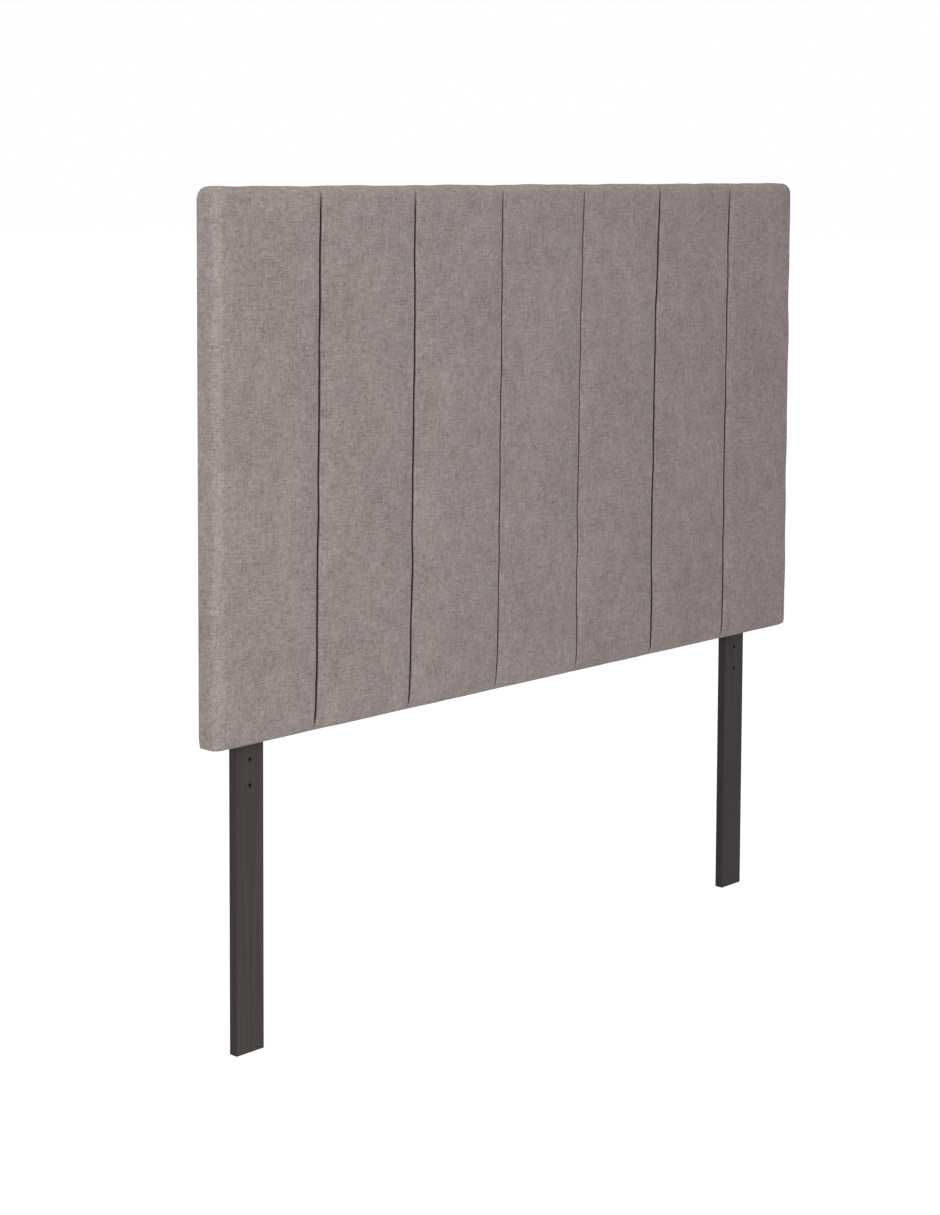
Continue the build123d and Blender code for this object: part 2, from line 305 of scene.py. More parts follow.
def grain(material, grain_axis, ring):
    """Pattern of planed wood: growth bands a ring apart and fine pores, both drawn out along the
    grain. Gives the mixed pattern and the pores alone."""
    place = add(material, "ShaderNodeTexCoord", out="Object")
    band_sizes = [ring * BAND_RINGS] * 3
    band_sizes[grain_axis] = BAND_LENGTH
    pore_sizes = [0.9 * MM] * 3
    pore_sizes[grain_axis] = PORE_LENGTH
    bands = noise(material, place, band_sizes, 1)
    bands = add(material, "ShaderNodeMath", {0: bands, 1: BAND_TURNS}, operation="MULTIPLY")
    bands = add(material, "ShaderNodeMath", {0: bands}, operation="SINE")
    inputs = {0: bands, 1: 0.5, 2: 0.5}
    bands = add(material, "ShaderNodeMath", inputs, operation="MULTIPLY_ADD")
    pores = noise(material, place, pore_sizes, 3)
    return weighed(material, [(bands, 0.5), (pores, 0.9)]), pores


def wood(name, dark, light, grain_axis, ring, roughness):
    """Bare planed wood, which scatters light almost without a gloss."""
    material = new_material(name)
    total, pores = grain(material, grain_axis, ring)
    colour = shade(material, total, dark, light)
    return finish_material(material, colour, roughness, (pores, 0.12 * MM))


def espresso_pine(name, dark, light):
    """Pine board under an espresso-brown stain and a satin lacquer. The growth bands show through
    faintly, and the narrow sides, which face across, are coloured darker than the broad faces."""
    material = new_material(name)
    total, pores = grain(material, 2, 5 * MM)
    facing = add(material, "ShaderNodeNewGeometry", out="Normal")
    across = add(material, "ShaderNodeSeparateXYZ", {0: facing})
    sideways = add(material, "ShaderNodeMath", {0: across}, operation="ABSOLUTE")
    planed = shade(material, total, dark, light)
    side_colour = shade(material, total, "#221C1B", "#2E2827")
    colour = shade(material, sideways, planed, side_colour)
    lacquer = {"Specular IOR Level": 0.22}
    return finish_material(material, colour, 0.55, (pores, 0.12 * MM), lacquer)


def hardboard():
    """Pressed hardboard: smooth brown fibres in short felted flecks."""
    material = new_material("hardboard")
    place = add(material, "ShaderNodeTexCoord", out="Object")
    flecks = noise(material, place, (6 * MM, 1 * MM, 1.2 * MM), 3)
    crossing = noise(material, place, (1.2 * MM, 1 * MM, 6 * MM), 3)
    total = weighed(material, [(flecks, 0.6), (crossing, 0.6)])
    return finish_material(material, shade(material, total, "#5A3E28", "#8F6A48"), 0.55)


def foam():
    """Cut polyurethane foam: pale cream, matt, with open cells a millimetre wide."""
    material = new_material("polyurethane_foam")
    place = add(material, "ShaderNodeTexCoord", out="Object")
    cells = add(material, "ShaderNodeTexVoronoi", {"Vector": place, "Scale": 1 / (1.1 * MM)})
    colour = shade(material, cells, "#CFC08A", "#F0E6BC")
    return finish_material(material, colour, 1.0, (cells, 0.4 * MM))


def wadding():
    """Polyester wadding: white crimped fibres in a loose lofted web."""
    material = new_material("polyester_wadding")
    place = add(material, "ShaderNodeTexCoord", out="Object")
    web = noise(material, place, (3 * MM, 3 * MM, 9 * MM), 4, 0.7)
    colour = shade(material, web, "#CFCECA", "#FAFAF7")
    return finish_material(material, colour, 1.0, (web, 1 * MM), {"Sheen Weight": 0.3})


def spunbond():
    """Black spunbond polypropylene: thin felted fibres, pressed together at a lattice of points,
    which leaves it dull with a faint sparkle."""
    material = new_material("spunbond_dust_cloth")
    place = add(material, "ShaderNodeUVMap", uv_map="cloth")
    turn = (0, 0, math.radians(45))
    inputs = {"Vector": place, "Rotation": turn, "Scale": [1 / (2.2 * MM)] * 3}
    turned = add(material, "ShaderNodeMapping", inputs)
    inputs = {"Vector": turned, "Scale": 1.0, "Randomness": 0.0}
    points = add(material, "ShaderNodeTexVoronoi", inputs)
    fibres = noise(material, place, (5 * MM, 2 * MM, 1), 4, 0.7)
    total = weighed(material, [(points, 0.5), (fibres, 0.8)])
    colour = shade(material, total, "#121212", "#2E2D2D")
    return finish_material(material, colour, 0.75, (total, 0.2 * MM))


def plated_steel(name, dark, light, roughness, fleck):
    """Zinc on steel: a faint cloudy crystal pattern of this fleck size, bright when electroplated
    and duller when hot dipped."""
    material = new_material(name)
    place = add(material, "ShaderNodeTexCoord", out="Object")
    cloud = noise(material, place, [fleck] * 3, 3)
    inputs = {"Value": cloud, "To Min": roughness * 0.8, "To Max": roughness * 1.2}
    rough = add(material, "ShaderNodeMapRange", inputs)
    colour = shade(material, cloud, dark, light)
    return finish_material(material, colour, rough, None, {"Metallic": 1.0})


def even(low, high, pitch):
    """Even places from low to high, at most a pitch apart."""
    return np.linspace(low, high, max(1, math.ceil(abs(high - low) / pitch - CLOSE)) + 1)


def spread(low, high, pitch):
    """Even places from low to high, about a pitch apart."""
    return np.linspace(low, high, max(1, round((high - low) / pitch)) + 1)


def grid(*values):
    """Stacks values that broadcast to rows by columns."""
    return np.stack(np.broadcast_arrays(*values), -1)


def rounded_edge(inset, depth, radius):
    """Section of a square edge turned into a quarter circle.

    A point near the edge, given by its inset from the side and its depth from the face, is seen
    from the circle's middle and moved along that line of sight onto the circle. Gives the new inset
    and depth, and the outward normal's share in each.
    """
    side = inset - np.maximum(inset, radius)
    face = depth - np.maximum(depth, radius)
    reach = np.hypot(side, face)
    near = reach > TINY
    side = np.where(near, side / np.maximum(reach, TINY), 0)
    face = np.where(near, face / np.maximum(reach, TINY), 0)
    new_inset = np.where(near, np.maximum(inset, radius) + radius * side, inset)
    new_depth = np.where(near, np.maximum(depth, radius) + radius * face, depth)
    return new_inset, new_depth, side, face


def upholstered(x, y, z, inset, back):
    """Points of a plain box moved onto the padded form, with their outward normals.

    First each front and back edge is rounded in section. Then each corner square of the outline is
    drawn in to a quarter disc: a point keeps its direction from the disc's middle, and its longer
    distance from the middle's two axes becomes its radius. The bottom corners, which are sharper,
    lie between that disc and the plain square.
    """
    left, right = PANEL_LEFT + inset, PANEL_RIGHT - inset
    bottom, top = PANEL_BOTTOM + inset, PANEL_TOP - inset
    front = PANEL_FRONT + inset
    corner = CORNER_RADIUS - inset
    at_left = x - left < right - x
    at_bottom = z - bottom < top - z
    to_side = np.where(at_left, x - left, right - x)
    to_rail = np.where(at_bottom, z - bottom, top - z)
    to_edge = np.minimum(to_side, to_rail)
    in_front = y - front < back - y
    front_edge = rounded_edge(to_edge, y - front, FRONT_RADIUS - inset)
    back_edge = rounded_edge(to_edge, back - y, BACK_RADIUS - inset)
    new_edge, new_depth, side, face = np.where(in_front, front_edge, back_edge)
    new_y = np.where(in_front, front + new_depth, back - new_depth)
    across = np.maximum(corner - to_side, 0)
    upwards = np.maximum(corner - to_rail, 0)
    reach = np.maximum(np.hypot(across, upwards), TINY)
    longer = np.maximum(np.maximum(across, upwards), TINY)
    roundness = np.where(at_bottom, (LOW_CORNER_RADIUS - inset) / corner, 1)
    radius = (corner - new_edge) * (roundness + (1 - roundness) * reach / longer)
    new_side = np.maximum(to_side, corner) - radius * across / reach
    new_rail = np.maximum(to_rail, corner) - radius * upwards / reach
    new_x = np.where(at_left, left + new_side, right - new_side)
    new_z = np.where(at_bottom, bottom + new_rail, top - new_rail)
    normal_x = np.where(at_left, side, -side) * across / reach
    normal_z = np.where(at_bottom, side, -side) * upwards / reach
    normal_y = np.where(in_front, face, -face)
    return grid(new_x, new_y, new_z), grid(normal_x, normal_y, normal_z)


def weld(patches):
    """One mesh from grids that meet: equal points become one vertex, and corners keep their UVs.

    Each patch is its values and its UVs, as rows by columns; a quad turns from columns to rows.
    """
    quads = []
    start = 0
    for values, _ in patches:
        rows, columns = values.shape[:2]
        index = start + np.arange(rows * columns).reshape(rows, columns)
        ring = [index[:-1, :-1], index[:-1, 1:], index[1:, 1:], index[1:, :-1]]
        quads.append(np.stack(ring, -1).reshape(-1, 4))
        start += rows * columns
    quads = np.concatenate(quads)
    values = np.concatenate([v.reshape(-1, v.shape[-1]) for v, _ in patches])
    uv = np.concatenate([t.reshape(-1, 2) for _, t in patches])
    places = np.round(values, 7)
    _, first, same = np.unique(places, axis=0, return_index=True, return_inverse=True)
    return values[first], same.reshape(-1)[quads], uv[quads]


def new_object(name, data):
    """New object in the scene."""
    made = bpy.data.objects.new(name, data)
    scene.collection.objects.link(made)
    return made


def mesh_piece(name, points, faces, uv=None):
    """New smooth mesh object, with one UV for each corner if it has them."""
    mesh = bpy.data.meshes.new(name)
    mesh.from_pydata(points.tolist(), [], faces)
    mesh.polygons.foreach_set("use_smooth", np.ones(len(faces), bool))
    if uv is not None:
        layer = mesh.uv_layers.new(name="cloth")
        layer.data.foreach_set("uv", uv.astype(np.float32).ravel())
    mesh.update()
    return new_object(name, mesh)


def read_out(values, name):
    """One vector of each point of a mesh, as rows."""
    found = np.zeros(len(values) * 3, np.float32)
    values.foreach_get(name, found)
    return found.reshape(-1, 3)


def mark(piece, name, values):
    """Stores a value at each point of a piece, for the material."""
    attribute = piece.data.attributes.new(name, "FLOAT", "POINT")
    attribute.data.foreach_set("value", values.astype(np.float32))


def place_piece(piece, material, replaced):
    """Gives a new piece its material and its place in the frame."""
    piece.data.materials.append(material)
    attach(piece, "root")
    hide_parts(replaced)


def refine(piece, levels, thickness):
    """Rounds a piece by subdivision and gives it a wall inwards."""
    if levels:
        smooth = piece.modifiers.new("smooth", "SUBSURF")
        smooth.levels = smooth.render_levels = levels
    wall = piece.modifiers.new("wall", "SOLIDIFY")
    wall.thickness = thickness
    wall.offset = -1


def settle(piece, pinned, pressure, slack, cap, firm):
    """Cloth simulation: the free points swell under a pressure from inside, and none may move
    further than the cap, or further inwards than firm, where the padding holds the cloth out.
    Slack is the share by which the cloth is cut larger than its rest shape."""
    group = piece.vertex_groups.new(name="pinned")
    group.add(np.flatnonzero(pinned).tolist(), 1.0, "REPLACE")
    rest = read_out(piece.data.vertices, "co")
    cloth = piece.modifiers.new("settle", "CLOTH")
    facts = cloth.settings
    facts.vertex_group_mass = group.name
    facts.quality = SETTLE_QUALITY
    facts.mass = CLOTH_MASS
    facts.bending_stiffness = CLOTH_STIFFNESS
    facts.use_pressure = pressure > 0
    facts.uniform_pressure_force = pressure
    facts.shrink_min = -slack
    facts.effector_weights.gravity = 0.0
    for step in range(SETTLE_STEPS):
        scene.frame_set(step + 1)
    graph = bpy.context.evaluated_depsgraph_get()
    moved = read_out(piece.evaluated_get(graph).data.vertices, "co") - rest
    normals = read_out(piece.data.vertex_normals, "vector")
    outwards = (moved * normals).sum(1, keepdims=True)
    moved += np.maximum(-firm - outwards, 0) * normals
    far = np.linalg.norm(moved, axis=1, keepdims=True)
    moved *= cap * np.tanh(far / cap) / np.maximum(far, TINY)
    piece.modifiers.remove(cloth)
    piece.vertex_groups.remove(group)
    scene.frame_set(1)
    piece.data.vertices.foreach_set("co", (rest + moved).ravel())
    piece.data.update()


def half_channel(reach, inset, walled, seam):
    """Section of half a channel, from its seam to its middle: offsets from the seam and depths.

    The cloth rises out of the seam along a wall close to its neighbour's, leans away from it, rolls
    over a quarter circle and then runs to the middle along a crown, whose depth is a power of the
    share of the way that is left.
    """
    radius = TUCK_RADIUS - inset
    mouth = TUCK_MOUTHS[seam] / 2 + inset
    lean = (TUCK_MOUTHS[seam] - TUCK_GAP) / 2 * TUCK_LEAN_SHARES
    wall = BOARD_FRONT - PANEL_FRONT - CROWN - inset - radius
    wall = radius + np.array([wall, wall / 2, TUCK_CLOSE, TUCK_CLOSE * TUCK_TURN_SHARE])
    if not walled:
        lean, wall = lean[:0], wall[:0]
    angle = np.linspace(0, math.pi / 2, 6)
    start = mouth + radius
    ahead = even(start, reach, GRID_PITCH)
    near = start + (ahead[1] - start) * np.array([0.2, 0.5])
    ahead = np.concatenate([near, ahead[1:]])
    left = (reach - ahead) / (reach - start)
    offsets = inset + TUCK_GAP / 2 + lean, mouth + radius * (1 - np.cos(angle)), ahead
    depths = CROWN + wall, CROWN + radius * (1 - np.sin(angle)), CROWN * left**CROWN_POWER
    return np.concatenate(offsets), np.concatenate(depths)


def channel_columns(index, inset=0.0, walled=True):
    """Columns of one channel from left to right: x, depth and the length along the cloth."""
    reach = CHANNEL_WIDTH / 2
    left = PANEL_LEFT + index * CHANNEL_WIDTH
    right = left + CHANNEL_WIDTH
    plain = np.concatenate([EDGE_LINES, even(EDGE_LINES[-1], reach, GRID_PITCH)[1:]])
    plain[0] = inset
    first = last = plain, np.zeros(len(plain))
    if index > 0:
        first = half_channel(reach, inset, walled, index - 1)
    if index < CHANNELS - 1:
        last = half_channel(reach, inset, walled, index)
    x = np.concatenate([left + first[0], right - last[0][::-1][1:]])
    depth = np.concatenate([first[1], last[1][::-1][1:]])
    step = np.hypot(np.diff(x), np.diff(depth))
    return x, depth, np.concatenate([[0], np.cumsum(step)])


def box_lines(inset, back):
    """Places inwards from the front to a back plane, and upwards from the bottom to the top."""
    depth = back - PANEL_FRONT
    front_part = EDGE_LINES[EDGE_LINES <= FRONT_RADIUS + CLOSE]
    back_part = EDGE_LINES[EDGE_LINES <= BACK_RADIUS + CLOSE]
    flat = even(front_part[-1], depth - back_part[-1], GRID_PITCH)[1:-1]
    inwards = PANEL_FRONT + np.concatenate([front_part, flat, depth - back_part[::-1]])
    height = PANEL_TOP - PANEL_BOTTOM
    rise = even(EDGE_LINES[-1], height - EDGE_LINES[-1], ROW_PITCH)[1:-1]
    upwards = PANEL_BOTTOM + np.concatenate([EDGE_LINES, rise, height - EDGE_LINES[::-1]])
    inwards[0] += inset
    upwards[0] += inset
    upwards[-1] -= inset
    return inwards, upwards


def loop_rows(inwards, upwards, hem):
    """Rows round a panel, from the hem on its back under it, up its front and over: y, z, length."""
    low, high = upwards[0], upwards[-1]
    at_back = np.full(len(hem), inwards[-1])
    at_front = np.full(len(upwards) - 2, inwards[0])
    beside = np.ones(len(inwards))
    y = np.concatenate([at_back, inwards[::-1], at_front, inwards, at_back])
    z = np.concatenate([low + hem[::-1], low * beside, upwards[1:-1], high * beside, high - hem])
    length = np.concatenate([[0], np.cumsum(np.hypot(np.diff(y), np.diff(z)))])
    return y, z, length - length[-1] / 2


def seam_sway(number, along):
    """How far a seam strays sideways at each place along it: its lean, a parabola through three
    heights, a sum of waves with seeded phases, and a bend to the left that dies away upwards from
    the bottom edge. The panel's own ends are no seams and don't stray."""
    if number in (0, CHANNELS):
        return np.zeros_like(along)
    phases = np.random.default_rng(SEED + number).uniform(0, math.tau, len(SEAM_WAVES))
    sway = np.polyval(np.polyfit(SEAM_HEIGHTS, SEAM_LEANS[number - 1], 2), along)
    for wave, size, phase in zip(SEAM_WAVES, SEAM_SWAYS, phases):
        sway += size * np.sin(math.tau * along / wave + phase)
    above = np.maximum(along + (PANEL_TOP - PANEL_BOTTOM) / 2, 0)
    return sway - SEAM_BEND * np.exp(-above / SEAM_BEND_REACH)


def channel_sway(index, x, along):
    """How far a point of a channel strays sideways: a mix of its two seams' sways by its place."""
    share = np.clip((x - PANEL_LEFT) / CHANNEL_WIDTH - index, 0, 1)
    return (1 - share) * seam_sway(index, along) + share * seam_sway(index + 1, along)


def swell(x, z):
    """Rise of the foam's uneven surface: a few slanted waves across the panel with seeded phases."""
    chance = np.random.default_rng(SEED)
    rise = np.zeros_like(x)
    for wave_x, wave_z in SWELL_WAVES:
        rise += np.sin(math.tau * (x / wave_x + z / wave_z) + chance.uniform(0, math.tau))
    return SWELL_HEIGHT * rise


def gathers(number, distance, along):
    """Rise of the gathers beside a seam: waves along it that die away with the distance from it.
    They are highest near the top and bottom edges, where the cloth is pulled over."""
    chance = np.random.default_rng(SEED + 100 + number)
    rise = np.zeros_like(along)
    if 0 < number < CHANNELS:
        for wave in GATHER_WAVES:
            rise += np.sin(math.tau * along / wave + chance.uniform(0, math.tau))
    edge = np.maximum((PANEL_TOP - PANEL_BOTTOM) / 2 - np.abs(along), 0)
    pull = GATHER_PLAIN_SHARE + (1 - GATHER_PLAIN_SHARE) * np.exp(-edge / GATHER_EDGE)
    rise = np.clip(rise / len(GATHER_WAVES), 0, 1)
    return GATHER_HEIGHT * rise * pull * np.exp(-distance / GATHER_REACH)


def pleats(x, y, z):
    """Depth of the pleats round the panel's corners, where the cloth is drawn round to the back:
    narrow grooves at a few angles, each with its own strength, that fade out towards the front."""
    to_side = np.minimum(x - PANEL_LEFT, PANEL_RIGHT - x)
    to_rail = np.minimum(z - PANEL_BOTTOM, PANEL_TOP - z)
    across = np.maximum(CORNER_RADIUS - to_side, 0)
    upwards = np.maximum(CORNER_RADIUS - to_rail, 0)
    angle = np.arctan2(upwards, across)
    corner = 2 * (x > 0) + (z > PANEL_MIDDLE)
    chance = np.random.default_rng(SEED + 200)
    depth = np.zeros_like(x)
    for middle in PLEAT_ANGLES:
        shift = chance.uniform(-1, 1, 4)[corner] * PLEAT_WIDTH
        strength = chance.uniform(PLEAT_LEAST_SHARE, 1, 4)[corner]
        depth += strength * np.exp(-(((angle - middle - shift) / PLEAT_WIDTH) ** 2))
    reach = np.clip(np.hypot(across, upwards) / CORNER_RADIUS, 0, 1)
    fade = np.clip((y - PANEL_FRONT - FRONT_RADIUS) / (HEM_BACK - PANEL_FRONT - FRONT_RADIUS), 0, 1)
    inside = (across > 0) & (upwards > 0)
    return np.where(inside, PLEAT_DEPTH * depth * reach * fade, 0)


def cover_patches(index):
    """Plain box patches of one cloth width, with x, y, z and depth at each point."""
    x, depth, across = channel_columns(index)
    inwards, upwards = box_lines(0.0, HEM_BACK)
    y, z, along = loop_rows(inwards, upwards, EDGE_LINES[1:])
    across = across + index * WIDTH_STEP
    patches = [(grid(x, y[:, None], z[:, None], depth), grid(across, along[:, None]))]
    if index in (0, CHANNELS - 1):
        side = -1 if index == 0 else 1
        edge = PANEL_LEFT if index == 0 else PANEL_RIGHT
        wrap = across[0] if index == 0 else across[-1]
        level = upwards - PANEL_MIDDLE
        span = inwards[::side]
        flat = wrap + side * (span - PANEL_FRONT)
        patches.append((grid(edge, span, upwards[:, None], 0.0), grid(flat, level[:, None])))
        hem = EDGE_LINES[::side]
        inner = slice(len(EDGE_LINES) - 1, len(upwards) - len(EDGE_LINES) + 1)
        flat = wrap + side * (HEM_BACK - PANEL_FRONT + hem)
        hem_x = edge - side * hem
        rows = upwards[inner, None]
        patches.append((grid(hem_x, HEM_BACK, rows, 0.0), grid(flat, level[inner, None])))
    return patches


def panel_height(y, z):
    """Height along the cloth from the panel's middle, counted on over the top and under the bottom."""
    return z - PANEL_MIDDLE + np.where(z > PANEL_MIDDLE, 1, -1) * (y - PANEL_FRONT)


def edge_fade(along):
    """Share by which a seam has faded: it rises from 0 to 1 towards the top or bottom edge."""
    reach = np.where(along > 0, FADE_TOP, FADE_BOTTOM)
    to_edge = (PANEL_TOP - PANEL_BOTTOM) / 2 - np.abs(along)
    return np.clip(1 - to_edge / reach, 0, 1)


def drawn_in(y, depth, over, low):
    """How far a point is drawn inwards. Towards the edges and on to the hem the tuck gets
    shallower, because the cloth is pulled tight there, most of all at the bottom and on the tuck's
    wall behind its roll."""
    roll = CROWN + TUCK_RADIUS
    share = np.where(low, TUCK_LOW_SHARE, TUCK_TOP_SHARE)
    hem = np.clip((y - HEM_BACK + BACK_RADIUS) / BACK_RADIUS, 0, 1)
    near = 1 + (share - 1) * over + (TUCK_HEM_SHARE - share) * hem
    far = 1 + (WALL_TOP_SHARE - 1) * over - (WALL_TOP_SHARE - WALL_HEM_SHARE) * hem
    return np.minimum(depth, roll) * near + np.maximum(depth - roll, 0) * far


def channel_cover(index, material):
    """One cloth width of the cover: crowned, tucked at its seams and hemmed on the back."""
    values, quads, uv = weld(cover_patches(index))
    x, y, z, depth = values.T
    points, normals = upholstered(x, y, z, 0.0, HEM_BACK)
    along = panel_height(y, z)
    walled = depth > CROWN + TUCK_RADIUS - CLOSE
    hemmed = y > HEM_BACK - BACK_RADIUS
    rise = swell(x, z)
    for number in (index, index + 1):
        seam = PANEL_LEFT + number * CHANNEL_WIDTH
        rise += gathers(number, np.abs(x - seam), along)
    faded = edge_fade(along)
    low = along < 0
    rise = np.where(walled | hemmed, 0, rise) * (1 - CALM_BOTTOM * faded * low)
    fall = drawn_in(y, depth, faded, low) + pleats(x, y, z)
    points += normals * (rise - fall)[:, None]
    points[:, 0] += channel_sway(index, x, along)
    piece = mesh_piece(f"channel_cover_{index + 1}", points, quads.tolist(), uv)
    cap = COVER_CAP * (1 - faded * np.where(low, CALM_BOTTOM, CALM_TOP))
    settle(piece, walled | hemmed, COVER_PRESSURE, 0.0, cap[:, None], COVER_FIRM)
    # Painted shade: a mark that darkens the cloth's colour deep in each tuck, less near the top and
    # bottom edges
    painted_seam_shade = np.clip((depth - CROWN) / TUCK_RADIUS - SHADE_START, 0, 0.5) * 2
    mark(piece, "tuck", painted_seam_shade * (1 - SHADE_FADE * faded))
    # Partly painted highlight: a mark that makes the cloth paler where it rounds over the front edges,
    # which also stands for the pile opening there
    mark(piece, "bend", 2 * np.maximum(-normals[:, 1], 0) * np.hypot(normals[:, 0], normals[:, 2]))
    refine(piece, 1, CLOTH_THICKNESS)
    place_piece(piece, material, f"cover_panel_{index + 1}")


def pad_side(ring, height, depth):
    """Side of a foam pad inside its ring of points, which runs down the back, forwards below, up the
    front and back on top: a strip of quads from back to front, and a face at either end."""
    back, front = ring[:height][::-1], ring[height + depth : 2 * height + depth]
    strip = np.stack([back[1:], back[:-1], front[:-1], front[1:]], -1).tolist()
    low = ring[height - 1 : height + depth + 1].tolist()
    high = ring[2 * height + depth - 1 :].tolist() + ring[:1].tolist()
    return [*strip, low, high]


def foam_block(index, material):
    """Foam pad of one channel: the cover's form less the cloth, cut off flat at the board."""
    x, depth, _ = channel_columns(index, PADDING_INSET, False)
    inwards, upwards = box_lines(PADDING_INSET, BOARD_FRONT)
    y, z, _ = loop_rows(inwards, upwards, (upwards - upwards[0])[1:-1])
    half = len(upwards) - 2
    y, z = y[:-half], z[:-half]
    fade = (BOARD_FRONT - y) / (BOARD_FRONT - inwards[0])
    ring = grid(x, y[:, None], z[:, None], depth * fade[:, None])
    closed = np.concatenate([ring, ring[:1]])
    patches = [(closed, closed[..., :2])]
    if index in (0, CHANNELS - 1):
        side = -1 if index == 0 else 1
        edge = x[0] if index == 0 else x[-1]
        outer = grid(edge, inwards[::side], upwards[:, None], 0.0)
        patches.append((outer, outer[..., :2]))
    values, quads, _ = weld(patches)
    x, y, z, depth = values.T
    points, normals = upholstered(x, y, z, PADDING_INSET, BOARD_FRONT)
    fade = np.clip((BOARD_FRONT - y) / (BOARD_FRONT - inwards[0]), 0, 1)
    points += normals * (swell(x, z) * fade - depth)[:, None]
    inner = (z > upwards[0] + CLOSE) & (z < upwards[-1] - CLOSE)
    along = np.where(inner, z - PANEL_MIDDLE, panel_height(y, z))
    points[:, 0] += channel_sway(index, x, along)
    rows, columns = len(ring), ring.shape[1] - 1
    first = quads[: rows * columns].reshape(rows, columns, 4)
    faces = quads.tolist()
    if index > 0:
        faces += pad_side(first[:, 0, 0], half, len(inwards))
    if index < CHANNELS - 1:
        faces += [face[::-1] for face in pad_side(first[:, -1, 1], half, len(inwards))]
    piece = mesh_piece(f"foam_block_{index + 1}", points, faces)
    place_piece(piece, material, f"foam_pad_{index + 1}")


def outline(corner_steps, pitch):
    """Rounded outline of the panel: middles, and directions that its radius runs along.

    A point of the outline at any inset is its middle plus its direction times the radius of the
    sharper bottom corners there. Round a bottom corner the middles follow a square.
    """
    half = np.array([PANEL_RIGHT - PANEL_LEFT, PANEL_TOP - PANEL_BOTTOM]) / 2 - CORNER_RADIUS
    difference = CORNER_RADIUS - LOW_CORNER_RADIUS
    signs = np.array([[1, 1], [-1, 1], [-1, -1], [1, -1]])
    middles, directions = [], []
    for number, sign in enumerate(signs):
        angle = math.pi / 2 * (number + np.linspace(0, 1, corner_steps))
        turned = np.stack([np.cos(angle), np.sin(angle)], -1)
        square = np.abs(turned).max(-1, keepdims=True) if sign[1] < 0 else 1
        middles.append(sign * half + difference / square * turned)
        directions.append(turned)
        start = sign * half + difference * turned[-1]
        end = signs[(number + 1) % 4] * half + difference * turned[-1]
        share = even(0, 1, pitch / np.linalg.norm(end - start))[1:-1, None]
        middles.append(start + share * (end - start))
        directions.append(np.broadcast_to(turned[-1], (len(share), 2)))
    centre = np.array([(PANEL_LEFT + PANEL_RIGHT) / 2, PANEL_MIDDLE])
    return centre + np.concatenate(middles), np.concatenate(directions)


def wadding_band(material):
    """Wadding round the frame's edge: a soft flattened ring, a superellipse carried round the
    outline, whose outer side is drawn in under each seam."""
    middles, directions = outline(9, WADDING_NOTCH)
    angle = np.linspace(0, math.tau, WADDING_SIDES + 1)[:-1]
    half_thick = WADDING_THICKNESS / 2
    half_deep = (FRAME_BACK - BOARD_FRONT) / 2
    outwards = np.sign(np.cos(angle)) * np.abs(np.cos(angle)) ** WADDING_POWERS[0]
    backwards = np.sign(np.sin(angle)) * np.abs(np.sin(angle)) ** WADDING_POWERS[1]
    inset = PADDING_INSET + half_thick - half_thick * outwards
    deep = (FRAME_BACK + BOARD_FRONT) / 2 + half_deep * backwards
    along = panel_height(deep, middles[:, 1:])
    strayed = [seam + seam_sway(number, along) for number, seam in enumerate(SEAMS, 1)]
    from_seam = np.abs(middles[:, :1] - strayed).min(0)
    level = np.abs(directions[:, 1:]) > 1 - CLOSE
    notch = np.where(level, WADDING_NOTCH * np.exp(-((from_seam / WADDING_NOTCH) ** 2)), 0)
    inset = inset + notch * (1 + outwards) / 2
    places = middles[:, None] + (LOW_CORNER_RADIUS - inset)[..., None] * directions[:, None]
    ring = grid(places[..., 0], deep, places[..., 1])
    ring = np.concatenate([ring, ring[:1]])
    ring = np.concatenate([ring, ring[:, :1]], 1)
    points, quads, _ = weld([(ring, ring[..., :2])])
    piece = mesh_piece("wadding_band", points, quads[:, ::-1].tolist())
    place_piece(piece, material, "edge_wadding")


def staple_places():
    """Middles of the back staples as x and z, and whether each stands upright."""
    side = PANEL_RIGHT - STAPLE_INSET
    low, high = PANEL_BOTTOM + STAPLE_INSET, PANEL_TOP - STAPLE_INSET
    half = STAPLE_PITCH / 2
    across = spread(-side + half, side - half, STAPLE_PITCH)
    reach = LEG_HALF + STAPLE_CROWN / 2 + STAPLE_CLEARANCE
    below = across[np.abs(np.abs(across) - LEG_MIDDLE) > reach]
    upwards = spread(low + half, high - half, STAPLE_PITCH)
    level = [grid(across, high, 0.0), grid(below, low, 0.0)]
    return np.concatenate([*level, grid(-side, upwards, 1.0), grid(side, upwards, 1.0)])


